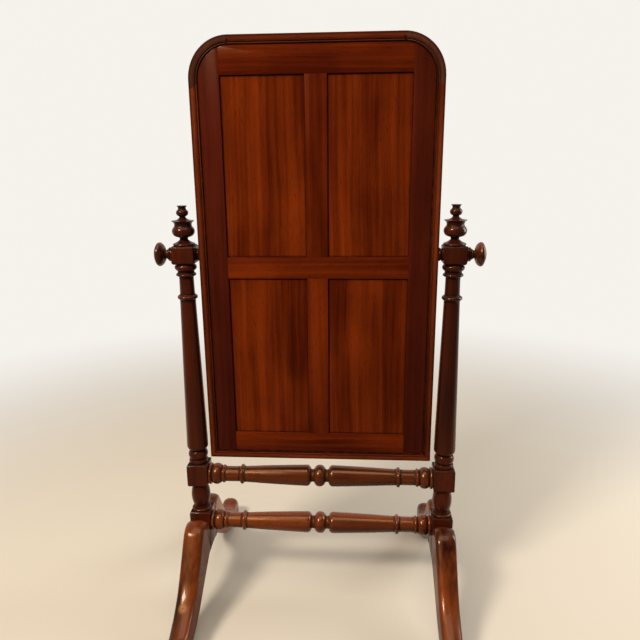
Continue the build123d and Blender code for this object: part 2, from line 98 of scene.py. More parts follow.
# Turned outlines: (distance along the axis, radius). A pair of points is an arc through the first.
POST_TURNINGS = (
    [
        (250, 18), (259, 18), (259, 24.2), ((262, 26.3), (265, 24.4)), (265.6, 23.2), (266, 21.8),
        ((272, 20.1), (278.6, 22.2)), ((304, 26.2), (336, 19.2)), (345, 18),
    ],
    [
        (395, 18), (403.6, 23.2), ((409.5, 25.8), (415, 24)), (415.6, 22.6), (417.6, 22.4), (418.2, 23),
        ((430, 26.3), (440.4, 21.6)), (440.8, 20.8), (443, 20.4), ((447.4, 26.2), (456, 28.7)), (520, 27.5),
        (640, 25.0), (760, 22.2), (861, 19.9), ((864.3, 20.6), (865.6, 22.3)), (866.2, 23.2),
        ((870.5, 25.6), (874.8, 23.2)), (875.4, 22.3), ((876.6, 19.8), (880, 18.9)), (922, 18.2),
        ((924.5, 19.6), (925.2, 22)), (925.8, 23.2), ((929, 25.4), (932.2, 23.2)), (932.8, 22.2),
        ((935.6, 20.8), (939.4, 22.2)), (940.2, 23.4), (941, 24), ((948, 27.7), (954.6, 24)), (957, 22), (965, 18),
    ],
)
FINIAL_TURNING = [
    (995, 0), (995, 6), (1003, 6), (1003, 25.8), ((1005.4, 27.9), (1008, 26.2)), (1008.4, 25),
    ((1012.4, 16.6), (1016.8, 10.9)), (1018, 10.2), (1020, 9.9), ((1022.4, 11.4), (1024, 14.5)),
    ((1036.5, 28), (1049, 22.8)), ((1056, 21.4), (1062.4, 26.8)), (1063.2, 27.5), (1064.4, 27.4),
    ((1066.8, 14.6), (1072.4, 7.5)), (1075, 7.9), ((1084.5, 15), (1091, 10.8)),
    ((1095.8, 9.5), (1099.4, 12.1)), (1100.4, 12.4), (1101, 11.8), ((1100.2, 6), (1100, 0)),
]
STRETCHER_TURNING = [
    (0, 29.3), ((10.9, 25.4), (15.2, 18.9)), (15.8, 18), ((19.5, 17), (23.8, 18)), (24.4, 18.6),
    ((27.8, 25.4), (36, 28.8)), (90, 27.0), (150, 24.6), (206, 21.6), ((208.3, 22.3), (209.2, 23.6)), (209.8, 24.4),
    ((214, 27), (218.2, 24.4)), (218.8, 23.6), ((219.8, 21.4), (223, 20.7)), (260, 20.7),
    ((261, 21.2), (261.4, 22)), (262, 22.8), ((265.5, 24.6), (269, 22.8)), (269.6, 22), (271, 20.8),
    ((286, 28.9), (298, 23.4)), (298.6, 22.6), (299.4, 22.8), ((303, 29.3), (306.6, 25.4)), (307, 24.6),
]

# Mirror frame
JOINTS = (118.0, 100.0)  # of a corner piece: down from the top, and in from the side
JOINT_SLANT = math.tan(math.radians(30))
JOINT_GAP = 0.08
CORNER_R = 96.0
CORNER_STEPS = 24
BAND = 22.0  # from the outer edge to the recess for the back
REBATE = 35.0
SIGHT = 44.0
PANEL_HIDDEN = 7.0  # of a panel in its grooves
PANEL_DIRT_AND_SHADE = 4.0  # how far dirt and a painted shadow reach on to a panel
PLATE_FOXING = {0: 1.0, 12: 1.0, 26: 0.55, 60: 0.0}  # distance from the edge: how foxed the plate is
BORE_R = 4.6  # round the pivot screws
BLOCK_DIRT_AND_SHADE = 1.8  # how far dirt and painted shade reach over a block's end, in bevels
DOME_R = 27.5  # of a clamp knob's end
DOME_RISE = 8.0
SPACER_CLEARANCE = 0.3

# Scroll leg: corners of the outline (distance from the post axis, height) and their radii
LEG_TOP = [(28, 227), (68, 286), (200, 115), (298, 66), (350, 77), (385, 44), (371, 0)]
LEG_TOP_R = [46, 220, 90, 39, 37]
LEG_UNDER = [(330, 0), (305, 0), (185, 46), (46, 146), (28, 146)]
LEG_UNDER_R = [60, 220, 18]
LEG_UNDER_ARRIS = 9.0  # how far the lower edges are rubbed away
LEG_SLICES = 24
LEG_DIRT_AND_SHADE = 9.0  # how far dirt and painted shade reach from the post
LEG_TOE = 23.5  # half the width of a leg at LEG_REACH from the post axis
LEG_REACH = 384.0

# Stage
BLACK = (0, 0, 0, 1)
FLOOR_REACH = 9000
FLOOR_FADE = (0.9, 3.2)  # metres from the middle, over which the floor turns into the room
FLOOR_TURN = (-0.4, 0.5)  # values of Y between which the front of the room turns into its back
WORLD_TURN = (-0.5, 0.6)  # the same for directions
FLOOR_COLOUR = (0.58, 0.50, 0.39, 1)
FLOOR_BOUNCE = (0.24, 0.20, 0.16, 1)  # what the floor throws back on the piece
ROOM_COLOUR = (0.92, 0.89, 0.84, 1)  # what the camera sees round the piece
ROOM_FRONT = (0.62, 0.60, 0.58, 1)  # what lights the piece and shows in the glass
ROOM_BACK = (0.16, 0.14, 0.13, 1)


# ---------------------------------------------------------------- outlines


def arc_points(start, middle, end):
    """Points on the arc from start through middle to end, without start."""
    ax, ay = start
    bx, by = middle
    cx, cy = end
    twice = 2 * (ax * (by - cy) + bx * (cy - ay) + cx * (ay - by))
    if abs(twice) < 1e-6:
        return [middle, end]
    a, b, c = ax * ax + ay * ay, bx * bx + by * by, cx * cx + cy * cy
    ox = (a * (by - cy) + b * (cy - ay) + c * (ay - by)) / twice
    oy = (a * (cx - bx) + b * (ax - cx) + c * (bx - ax)) / twice
    radius = math.hypot(ax - ox, ay - oy)
    first = math.atan2(ay - oy, ax - ox)
    sweep = (math.atan2(cy - oy, cx - ox) - first) % math.tau
    if (math.atan2(by - oy, bx - ox) - first) % math.tau > sweep:
        sweep -= math.tau
    count = max(4, math.ceil(abs(sweep) / ARC_STEP), math.ceil(abs(sweep) * radius / LINE_STEP))
    angles = [first + sweep * i / count for i in range(1, count + 1)]
    return [(ox + radius * math.cos(t), oy + radius * math.sin(t)) for t in angles]


def outline(steps):
    """Closely spaced points of an outline of lines and arcs."""
    points = [steps[0]]
    for step in steps[1:]:
        if isinstance(step[0], tuple):
            points += arc_points(points[-1], *step)
            continue
        (x, y), (ex, ey) = points[-1], step
        count = max(1, math.ceil(math.hypot(ex - x, ey - y) / LINE_STEP))
        points += [(x + (ex - x) * i / count, y + (ey - y) * i / count) for i in range(1, count + 1)]
    return points


def rounded(corners, radii):
    """Closely spaced points of a polyline whose inner corners are rounded."""
    steps = [corners[0]]
    for before, corner, after, radius in zip(corners, corners[1:], corners[2:], radii):
        corner = Vector(corner)
        to_before = (Vector(before) - corner).normalized()
        to_after = (Vector(after) - corner).normalized()
        half = to_before.angle(to_after) / 2
        centre = corner + (to_before + to_after).normalized() * radius / math.sin(half)
        reach = radius / math.tan(half)
        middle = centre + (corner - centre).normalized() * radius
        steps.append(tuple(corner + to_before * reach))
        steps.append((tuple(middle), tuple(corner + to_after * reach)))
    return outline(steps + [corners[-1]])


def weathering_and_shade(points, outward):
    """How hollow and how proud each point of an outline is, from 0 to 1; outward is 1 or -1."""
    hollow, proud = [], []
    for i, (x, y) in enumerate(points):
        near = [p for p in points[max(0, i - NEIGHBOURS):i + NEIGHBOURS + 1] if math.hypot(p[0] - x, p[1] - y) < WINDOW]
        mean_x = sum(p[0] for p in near) / len(near)
        mean_y = sum(p[1] for p in near) / len(near)
        before, after = points[max(0, i - 1)], points[min(len(points) - 1, i + 1)]
        dx, dy = after[0] - before[0], after[1] - before[1]
        length = math.hypot(dx, dy) or 1.0
        lift = outward * (-(mean_x - x) * dy + (mean_y - y) * dx) / length
        hollow.append(min(1.0, max(0.0, lift / DEEP)))
        proud.append(min(1.0, max(0.0, -lift / DEEP)))
    return hollow, proud


# ---------------------------------------------------------------- meshes


def link(obj):
    """Put an object in the scene."""
    bpy.context.scene.collection.objects.link(obj)
    return obj


def smooth(mesh):
    """Smooth the faces and keep only real edges sharp."""
    mesh.shade_smooth()
    mesh.set_sharp_from_angle(angle=SHARP)


def tidy_mesh(mesh):
    """Merge doubles, close the ends, turn the faces outwards and smooth them."""
    bm = bmesh.new()
    bm.from_mesh(mesh)
    bmesh.ops.remove_doubles(bm, verts=bm.verts, dist=0.000005)
    bmesh.ops.dissolve_degenerate(bm, dist=0.000002, edges=bm.edges)
    bmesh.ops.holes_fill(bm, edges=[edge for edge in bm.edges if edge.is_boundary])
    bmesh.ops.recalc_face_normals(bm, faces=bm.faces)
    bm.to_mesh(mesh)
    bm.free()
    smooth(mesh)


def store(mesh, name, values):
    """Store one number per point of a mesh."""
    attribute = mesh.attributes.get(name) or mesh.attributes.new(name, "FLOAT", "POINT")
    attribute.data.foreach_set("value", values)


def place(obj, body, material, nodes=(), board=0.0):
    """Give a finished piece its material and body, and hide the CAD nodes that it replaces; board picks its stretch of
    grain.
    """
    obj.data.materials.clear()
    obj.data.materials.append(material)
    store(obj.data, "board", [board] * len(obj.data.vertices))
    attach(obj, body)
    if nodes:
        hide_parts(*nodes)
    return obj


def bevel(obj, width, segments, angle):
    """Round the arrises of a piece and keep the result in its mesh."""
    modifier = obj.modifiers.new("Arrises", "BEVEL")
    modifier.width = width * MM
    modifier.segments = segments
    modifier.limit_method = "ANGLE"
    modifier.angle_limit = math.radians(angle)
    modifier.harden_normals = False
    mesh = bpy.data.meshes.new_from_object(obj.evaluated_get(bpy.context.evaluated_depsgraph_get()))
    obj.modifiers.clear()
    old, obj.data = obj.data, mesh
    bpy.data.meshes.remove(old)
    smooth(mesh)
    return obj


def wire(tree, value, socket):
    """Join an output to a socket, or set the socket to a plain value."""
    if isinstance(value, bpy.types.NodeSocket):
        tree.links.new(value, socket)
    else:
        socket.default_value = value


def wire_all(tree, values, sockets):
    """Join or set several sockets, given by name or number."""
    for key, value in values.items():
        wire(tree, value, sockets[key])


def add_node(tree, kind, inputs=None, **settings):
    """Add a node, set its properties, join its inputs and return its outputs."""
    made = tree.nodes.new(kind)
    for key, value in settings.items():
        setattr(made, key, value)
    wire_all(tree, inputs or {}, made.inputs)
    return made.outputs


def node_group(name, kind, inputs, outputs):
    """A node group with named sockets, and the sockets that bring values in and out of it."""
    tree = bpy.data.node_groups.new(name, kind)
    for way, sockets in (("INPUT", inputs), ("OUTPUT", outputs)):
        for label, content in sockets.items():
            tree.interface.new_socket(label, in_out=way, socket_type="NodeSocket" + content)
    return tree, add_node(tree, "NodeGroupInput"), tree.nodes.new("NodeGroupOutput").inputs


def group_once(name, make):
    """A node group, made the first time that it is asked for."""
    return bpy.data.node_groups.get(name) or make(name)


def sweep_tree(name):
    """Geometry Nodes: one copy of a section at each station of a path, skinned into a surface."""
    tree, entry, leave = node_group(
        name,
        "GeometryNodeTree",
        {"Path": "Geometry", "Section": "Object", "Merge Distance": "Float", "Material": "Material"},
        {"Surface": "Geometry"},
    )

    def add(kind, inputs=None, **settings):
        return add_node(tree, "GeometryNode" + kind, inputs, **settings)

    def count(geometry):
        return add("AttributeDomainSize", {"Geometry": geometry}, component="MESH")["Point Count"]

    def vector(operation, a, b):
        other = "Scale" if operation == "SCALE" else 1
        return add_node(tree, "ShaderNodeVectorMath", {0: a, other: b}, operation=operation)[0]

    def sample(geometry, kind, value, index):
        inputs = {"Geometry": geometry, "Value": value, "Index": index}
        return add("SampleIndex", inputs, data_type=kind, domain="POINT")["Value"]

    def sample_named(geometry, kind, label, index):
        value = add("InputNamedAttribute", {"Name": label}, data_type=kind)["Attribute"]
        return sample(geometry, kind, value, index)

    path = entry["Path"]
    section = add("ObjectInfo", {"Object": entry["Section"]})["Geometry"]
    across = count(section)
    surface = add("MeshGrid", {"Vertices X": count(path), "Vertices Y": across})["Mesh"]
    index = add("InputIndex")[0]
    station = maths(tree, "FLOOR", maths(tree, "DIVIDE", plus(tree, index, 0.5), across))
    point = maths(tree, "SUBTRACT", index, times(tree, station, across))
    position = add("InputPosition")[0]
    origin = sample(path, "FLOAT_VECTOR", position, station)
    inward, rise = (sample_named(path, "FLOAT_VECTOR", label, station) for label in ("inward", "rise"))
    parts = add_node(tree, "ShaderNodeSeparateXYZ", {0: sample(section, "FLOAT_VECTOR", position, point)})
    offset = vector("ADD", vector("SCALE", inward, parts["X"]), vector("SCALE", rise, parts["Y"]))
    surface = add("SetPosition", {"Geometry": surface, "Position": vector("ADD", origin, offset)})[0]
    for label in ("hollow", "proud"):
        inputs = {"Geometry": surface, "Name": label, "Value": sample_named(section, "FLOAT", label, point)}
        surface = add("StoreNamedAttribute", inputs, data_type="FLOAT", domain="POINT")[0]
    surface = add("MergeByDistance", {"Geometry": surface, "Distance": entry["Merge Distance"]})[0]
    surface = add("RealizeInstances", {0: surface})[0]
    surface = add("SetMaterial", {"Geometry": surface, "Material": entry["Material"]})[0]
    wire(tree, surface, leave["Surface"])
    return tree


def set_input(modifier, name, value):
    """Set an input of a Geometry Nodes modifier by the identifier of its socket."""
    for item in modifier.node_group.interface.items_tree:
        if item.item_type == "SOCKET" and item.in_out == "INPUT" and item.name == name:
            modifier[item.identifier] = value
            return
    raise KeyError(name)


def run_tree(name, mesh, tree, inputs):
    """Evaluate a Geometry Nodes tree on a mesh and return the result as a plain object."""
    source = link(bpy.data.objects.new(name + "_path", mesh))
    modifier = source.modifiers.new("Shape", "NODES")
    modifier.node_group = tree
    for key, value in inputs.items():
        set_input(modifier, key, value)
    evaluated = source.evaluated_get(bpy.context.evaluated_depsgraph_get())
    made = bpy.data.meshes.new_from_object(evaluated)
    bpy.data.objects.remove(source)
    bpy.data.meshes.remove(mesh)
    made.name = name
    return link(bpy.data.objects.new(name, made))


def sweep(name, stations, points, outward, material):
    """Sweep an outline along stations of (origin, inward, rise), in mm, and return a closed mesh."""
    path = bpy.data.meshes.new(name + "_stations")
    path.from_pydata([Vector(s[0]) * MM for s in stations], [], [])
    for label, column in (("inward", 1), ("rise", 2)):
        attribute = path.attributes.new(label, "FLOAT_VECTOR", "POINT")
        attribute.data.foreach_set("vector", [c for s in stations for c in Vector(s[column])])
    mesh = bpy.data.meshes.new(name + "_section")
    mesh.from_pydata([(x * MM, y * MM, 0) for x, y in points], [], [])
    hollow, proud = weathering_and_shade(points, outward)
    store(mesh, "hollow", hollow)
    store(mesh, "proud", proud)
    section = link(bpy.data.objects.new(name + "_section", mesh))
    inputs = {"Section": section, "Merge Distance": 0.000004, "Material": material}
    made = run_tree(name, path, group_once("Sweep a section", sweep_tree), inputs)
    bpy.data.objects.remove(section)
    bpy.data.meshes.remove(mesh)
    tidy_mesh(made.data)
    return made


def turning(name, steps, origin, axis, around, material):
    """A turned piece: its outline swept round an axis through origin."""
    axis = Vector(axis)
    side = axis.orthogonal().normalized()
    stations = []
    for i in range(around + 1):
        radial = Matrix.Rotation(math.tau * (i % around) / around, 3, axis) @ side
        stations.append((origin, radial, axis))
    points = [(radius, along) for along, radius in outline(steps)]
    return sweep(name, stations, points, -1, material)


def solid_from(name, vertices, faces):
    """A mesh object from vertices in mm and faces."""
    mesh = bpy.data.meshes.new(name)
    mesh.from_pydata([Vector(v) * MM for v in vertices], [], faces)
    return link(bpy.data.objects.new(name, mesh))


def rings(count, around, first=0):
    """Faces that join rings of vertices, one ring to the next; first is the number of the first vertex."""
    faces = []
    for ring in range(count - 1):
        for i in range(around):
            a, b = first + ring * around + i, first + ring * around + (i + 1) % around
            faces.append((a, b, b + around, a + around))
    return faces


def gridded_box(name, cuts, across):
    """A box whose two faces across Y are cut into a grid at the given values of X and Z."""
    xs, zs = cuts
    columns, rows = len(xs), len(zs)
    far = columns * rows
    vertices = [(x, y, z) for y in across for z in zs for x in xs]
    starts = [base + r * columns + c for base in (0, far) for r in range(rows - 1) for c in range(columns - 1)]
    faces = [(a, a + 1, a + columns + 1, a + columns) for a in starts]
    rim = list(range(columns))
    rim += [r * columns + columns - 1 for r in range(1, rows)]
    rim += [(rows - 1) * columns + c for c in range(columns - 2, -1, -1)]
    rim += [r * columns for r in range(rows - 2, 0, -1)]
    faces += [(a, b, b + far, a + far) for a, b in zip(rim, rim[1:] + rim[:1])]
    return solid_from(name, vertices, faces)


def copy_of(node, name):
    """A merged copy of a CAD node's mesh, with its flat faces joined up again."""
    mesh = frame["nodes"][node].data.copy()
    mesh.name = name
    bm = bmesh.new()
    bm.from_mesh(mesh)
    bmesh.ops.remove_doubles(bm, verts=bm.verts, dist=0.00001)
    bmesh.ops.dissolve_limit(bm, angle_limit=math.radians(1), verts=bm.verts, edges=bm.edges)
    bm.to_mesh(mesh)
    bm.free()
    return link(bpy.data.objects.new(name, mesh))


# ---------------------------------------------------------------- materials


def maths(tree, operation, a, b=0.0, clamp=False):
    """Result of a Math node."""
    return add_node(tree, "ShaderNodeMath", {0: a, 1: b}, operation=operation, use_clamp=clamp)[0]


def times(tree, a, b, clamp=False):
    """Product of two values."""
    return maths(tree, "MULTIPLY", a, b, clamp)


def plus(tree, a, b, clamp=False):
    """Sum of two values."""
    return maths(tree, "ADD", a, b, clamp)


def stretch(tree, vector, scale):
    """A vector multiplied by three factors."""
    return add_node(tree, "ShaderNodeVectorMath", {0: vector, 1: scale}, operation="MULTIPLY")[0]


def noise(tree, vector, scale, seed, detail=2.0, rough=0.5, output=0):
    """4D noise at a vector multiplied by three factors."""
    inputs = {"Vector": stretch(tree, vector, scale), "W": seed, "Scale": 1.0, "Detail": detail, "Roughness": rough}
    return add_node(tree, "ShaderNodeTexNoise", inputs, noise_dimensions="4D")[output]


def spread(tree, value, low, high, out_low=0.0, out_high=1.0):
    """Map a range of values smoothly to another, clamped."""
    inputs = dict(enumerate((value, low, high, out_low, out_high)))
    return add_node(tree, "ShaderNodeMapRange", inputs, interpolation_type="SMOOTHSTEP")[0]


def blend_colour(tree, factor, a, b, mode="MIX"):
    """Mix two colours; a Mix node has its colours at sockets 6 and 7 and its result at 2."""
    return add_node(tree, "ShaderNodeMix", {0: factor, 6: a, 7: b}, data_type="RGBA", blend_type=mode)[2]


def stored(tree, name):
    """A number stored in the mesh."""
    return add_node(tree, "ShaderNodeAttribute", attribute_name=name)["Fac"]


def grain_group(name):
    """Mahogany grain that runs along Z: stripes, streaks and pores."""
    group, entry, leave = node_group(
        name,
        "ShaderNodeTree",
        {"Vector": "Vector", "Board": "Float", "Dark": "Color", "Light": "Color", "Contrast": "Float"},
        {"Color": "Color", "Pores": "Float", "Streaks": "Float"},
    )
    seed = times(group, entry["Board"], 7.31)
    bend = noise(group, entry["Vector"], (3.0, 3.0, 1.1), seed, output="Color")
    shift = stretch(group, bend, (0.05, 0.05, 0.05))
    bent = add_node(group, "ShaderNodeVectorMath", {0: entry["Vector"], 1: shift}, operation="ADD")[0]
    broad = spread(group, noise(group, bent, (16, 16, 1.3), seed, 2), 0.34, 0.66)
    stripes = spread(group, noise(group, bent, (95, 95, 1.6), seed, 3), 0.32, 0.68)
    streaks = noise(group, bent, (420, 420, 7), seed, 3, 0.6)
    pores = spread(group, noise(group, bent, (1500, 1500, 45), seed, 1), 0.585, 0.70)
    mottle = spread(group, noise(group, bent, (9, 9, 5), seed, 2), 0.35, 0.7, -0.16, 0.16)
    light = plus(group, times(group, broad, 0.5), times(group, stripes, 0.32))
    light = plus(group, light, times(group, streaks, 0.25))
    light = plus(group, light, mottle)
    light = times(group, maths(group, "SUBTRACT", light, 0.5), entry["Contrast"])
    light = plus(group, light, 0.5, clamp=True)
    colour = blend_colour(group, light, entry["Dark"], entry["Light"])
    colour = blend_colour(group, times(group, pores, 0.6), colour, (0.012, 0.003, 0.001, 1))
    wire(group, colour, leave["Color"])
    wire(group, pores, leave["Pores"])
    wire(group, streaks, leave["Streaks"])
    return group


def dirt_shade_and_wear_group(name):
    """Dirt and painted shade in the hollows, and a rubbed, paler polish on the proud edges."""
    group, entry, leave = node_group(
        name,
        "ShaderNodeTree",
        {"Vector": "Vector", "Color": "Color", "Dirt and Shade": "Color", "Rub": "Float"},
        {"Color": "Color", "Dull": "Float"},
    )
    patchy = noise(group, entry["Vector"], (60, 60, 60), 3.0, 3)
    # the hollow mask darkens the colour: real dirt and painted shade in the hollows
    dirt_and_shade = times(group, stored(group, "hollow"), spread(group, patchy, 0.25, 0.6, 0.7, 1.0), clamp=True)
    rub = times(group, times(group, stored(group, "proud"), entry["Rub"]), spread(group, patchy, 0.35, 0.65))
    paler = blend_colour(group, 1.0, entry["Color"], (1.55, 1.5, 1.4, 1), mode="MULTIPLY")
    colour = blend_colour(group, rub, entry["Color"], paler)
    wire(group, blend_colour(group, dirt_and_shade, colour, entry["Dirt and Shade"]), leave["Color"])
    wire(group, dirt_and_shade, leave["Dull"])
    return group


def principled(name):
    """A new material with its node tree, the inputs of its Principled BSDF and object coordinates."""
    material = bpy.data.materials.new(name)
    material.use_nodes = True
    tree = material.node_tree
    return material, tree, tree.nodes["Principled BSDF"].inputs, add_node(tree, "ShaderNodeTexCoord")["Object"]


def bump(tree, height, strength, distance):
    """A normal bumped by a height."""
    inputs = {"Strength": strength, "Distance": distance, "Height": height}
    return add_node(tree, "ShaderNodeBump", inputs)["Normal"]


def mahogany(name, dark, light, turn=(0, 0, 0), contrast=1.0, rub=0.5, polish=0.16, coat=0.03, sheen=0.04, knot_and_highlight=None):
    """Polished mahogany; turn brings the grain from Z to where it runs on the piece."""
    material, tree, sockets, where = principled(name)
    turned = add_node(tree, "ShaderNodeMapping", {"Rotation": turn, "Vector": where})[0]
    inputs = {"Vector": turned, "Board": stored(tree, "board"), "Contrast": contrast}
    inputs |= {"Dark": (*dark, 1), "Light": (*light, 1)}
    grain = add_node(tree, "ShaderNodeGroup", inputs, node_tree=group_once("Mahogany Grain", grain_group))
    colour = grain["Color"]
    if knot_and_highlight:
        gap = add_node(tree, "ShaderNodeVectorMath", {0: where, 1: knot_and_highlight}, operation="DISTANCE")["Value"]
        # a paler orange ring round the knot is a painted highlight; the dark middle is the real knot
        colour = blend_colour(tree, spread(tree, gap, 0.004, 0.016, 0.5, 0.0), colour, (0.42, 0.16, 0.05, 1))
        colour = blend_colour(tree, spread(tree, gap, 0.0015, 0.0035, 1.0, 0.0), colour, (0.004, 0.002, 0.001, 1))
    # near-black brown for the hollows: real dirt and painted shade
    inputs = {"Vector": where, "Color": colour, "Dirt and Shade": (0.010, 0.003, 0.0015, 1), "Rub": rub}
    dirt_shade_wear = add_node(tree, "ShaderNodeGroup", inputs, node_tree=group_once("Age", dirt_shade_and_wear_group))
    roughness = spread(tree, noise(tree, where, (14, 14, 14), 1.0, 4), 0.3, 0.7, polish, polish + 0.12)
    height = times(tree, grain["Pores"], -0.00004)
    height = plus(tree, height, times(tree, grain["Streaks"], 0.00003))
    height = plus(tree, height, times(tree, noise(tree, where, (26, 26, 26), 2.0, 1), 0.0004))
    clean = maths(tree, "SUBTRACT", 1.0, dirt_shade_wear["Dull"], clamp=True)
    look = {
        "Base Color": dirt_shade_wear["Color"],
        "Roughness": plus(tree, roughness, times(tree, dirt_shade_wear["Dull"], 0.5)),
        "Normal": bump(tree, height, 0.6, 1.0),
        "IOR": 1.5,
        "Specular IOR Level": sheen,
        "Specular Tint": (1.0, 0.50, 0.22, 1),
        "Coat Weight": times(tree, clean, coat),
        "Coat Roughness": 0.07,
        "Coat IOR": 1.5,
    }
    wire_all(tree, look, sockets)
    return material


def metal(name, colour, tarnish, roughness):
    """Old metal, mottled by tarnish."""
    material, tree, sockets, where = principled(name)
    patches = noise(tree, where, (90, 90, 90), 4.0, 5, 0.65)
    look = {
        "Base Color": blend_colour(tree, spread(tree, patches, 0.42, 0.66), (*colour, 1), (*tarnish, 1)),
        "Roughness": spread(tree, patches, 0.35, 0.7, roughness, roughness + 0.25),
        "Normal": bump(tree, noise(tree, where, (900, 900, 900), 5.0, 3), 0.25, 0.0002),
        "Metallic": 1.0,
    }
    wire_all(tree, look, sockets)
    return material


def silvered_glass(name):
    """Old silvered plate, a little foxed towards its edges."""
    material, tree, sockets, where = principled(name)
    spots = spread(tree, noise(tree, where, (140, 140, 140), 6.0, 4, 0.7), 0.56, 0.64)
    spots = times(tree, spots, stored(tree, "hollow"), clamp=True)
    drift = noise(tree, where, (3.5, 3.5, 3.5), 7.0, 0)
    look = {
        "Base Color": blend_colour(tree, spots, (0.89, 0.91, 0.90, 1), (0.16, 0.13, 0.10, 1)),
        "Roughness": plus(tree, times(tree, spots, 0.4), 0.015),
        "Normal": bump(tree, times(tree, drift, 0.0006), 0.5, 1.0),
        "Metallic": 1.0,
    }
    wire_all(tree, look, sockets)
    return material


ALONG_X = (0, math.radians(90), 0)
LEG_LEAN = math.radians(58)
LEG_POLISH = {"contrast": 1.3, "polish": 0.24, "coat": 0.16, "sheen": 0.30}

# Each wood: the colours in the panel that it takes, and its settings for mahogany()
WOODS = {
    "panel_polish": ("panel", {"contrast": 1.15}),
    "stile_polish": ("stile", {}),
    "muntin_polish": ("rail", {"contrast": 1.1}),
    "rail_polish": ("rail", {"contrast": 1.1, "turn": ALONG_X}),
    "band_polish": ("band", {"contrast": 1.1}),
    "band_across_polish": ("band", {"contrast": 1.1, "turn": ALONG_X}),
    "corner_polish": ("corner", {"polish": 0.24}),
    "post_polish": ("post", {"rub": 0.4, "polish": 0.20, "coat": 0.20, "sheen": 0.18}),
    "stretcher_polish": (
        "stretcher", {"turn": ALONG_X, "contrast": 1.3, "rub": 0.6, "polish": 0.20, "coat": 0.20, "sheen": 0.60}),
    "leg_back_polish": ("leg", {"turn": (-LEG_LEAN, 0, 0), "knot_and_highlight": (0.339, 0.220, 0.105), **LEG_POLISH}),
    "leg_front_polish": ("leg", {"turn": (LEG_LEAN, 0, 0), **LEG_POLISH}),
    "knob_polish": ("leg", {"turn": ALONG_X, "polish": 0.20, "coat": 0.25, "sheen": 0.35}),
}


def finish(key):
    """The material of that name, made once; woods take their colours from the panel."""
    if key in bpy.data.materials:
        return bpy.data.materials[key]
    if key in WOODS:
        tone, settings = WOODS[key]
        tones = bpy.context.scene.cheval_finish
        return mahogany(key, getattr(tones, tone + "_dark"), getattr(tones, tone + "_light"), **settings)
    if key == "old_brass":
        return metal(key, (0.62, 0.42, 0.16), (0.20, 0.11, 0.04), 0.28)
    if key == "plain_steel":
        return metal(key, (0.42, 0.40, 0.38), (0.16, 0.09, 0.06), 0.34)
    if key == "plain_deal":
        return mahogany(key, (0.434, 0.294, 0.168), (0.62, 0.42, 0.24), rub=0.0, polish=0.5, coat=0.0)
    return silvered_glass(key)


# ---------------------------------------------------------------- settings


# Colours of the wood: where it is used, its dark grain and its light grain
TONES = {
    "panel": ("panels", (0.052, 0.005, 0.001), (0.205, 0.027, 0.0028)),
    "stile": ("stiles", (0.03, 0.0036, 0.0015), (0.08, 0.0105, 0.0038)),
    "rail": ("rails", (0.055, 0.0052, 0.001), (0.18, 0.023, 0.0026)),
    "band": ("frame", (0.07, 0.0085, 0.0025), (0.2, 0.034, 0.008)),
    "corner": ("round corners", (0.047, 0.0115, 0.0062), (0.106, 0.029, 0.0154)),
    "post": ("posts", (0.013, 0.002, 0.0008), (0.07, 0.0105, 0.0028)),
    "stretcher": ("stretchers", (0.026, 0.0036, 0.0008), (0.16, 0.029, 0.004)),
    "leg": ("legs", (0.018, 0.0025, 0.0009), (0.175, 0.032, 0.0045)),
}


def colour_setting(name, description, default):
    """A colour that the panel shows."""
    return bpy.props.FloatVectorProperty(
        name=name, description=description, subtype="COLOR", size=3, min=0.0, max=1.0, default=default)


class ChevalSizes(bpy.types.PropertyGroup):
    """Sizes that change how finely the pieces are made."""

    around: bpy.props.IntProperty(
        name="Facets Round a Turning", description="Number of facets round each turned piece",
        default=64, min=12, max=128)
    block_bevel: bpy.props.FloatProperty(
        name="Block Bevel", description="Bevel round the ends of the square blocks, in millimetres",
        default=3.5, min=0.5, max=8.0)
    arris: bpy.props.FloatProperty(
        name="Arris", description="Rounding of the boards' edges, in millimetres",
        default=0.6, min=0.1, max=2.0)
    leg_crown: bpy.props.FloatProperty(
        name="Leg Crown", description="How far the top of a leg falls to its sides, in millimetres",
        default=13.0, min=4.0, max=16.0)


class ChevalFinish(bpy.types.PropertyGroup):
    """Colours of the polish."""

    __annotations__ = {
        f"{tone}_{shade}": colour_setting(f"{tone} {shade}".title(), f"{shade.title()} grain of the {boards}", colour)
        for tone, (boards, *colours) in TONES.items()
        for shade, colour in zip(("dark", "light"), colours)
    }


# ---------------------------------------------------------------- operators


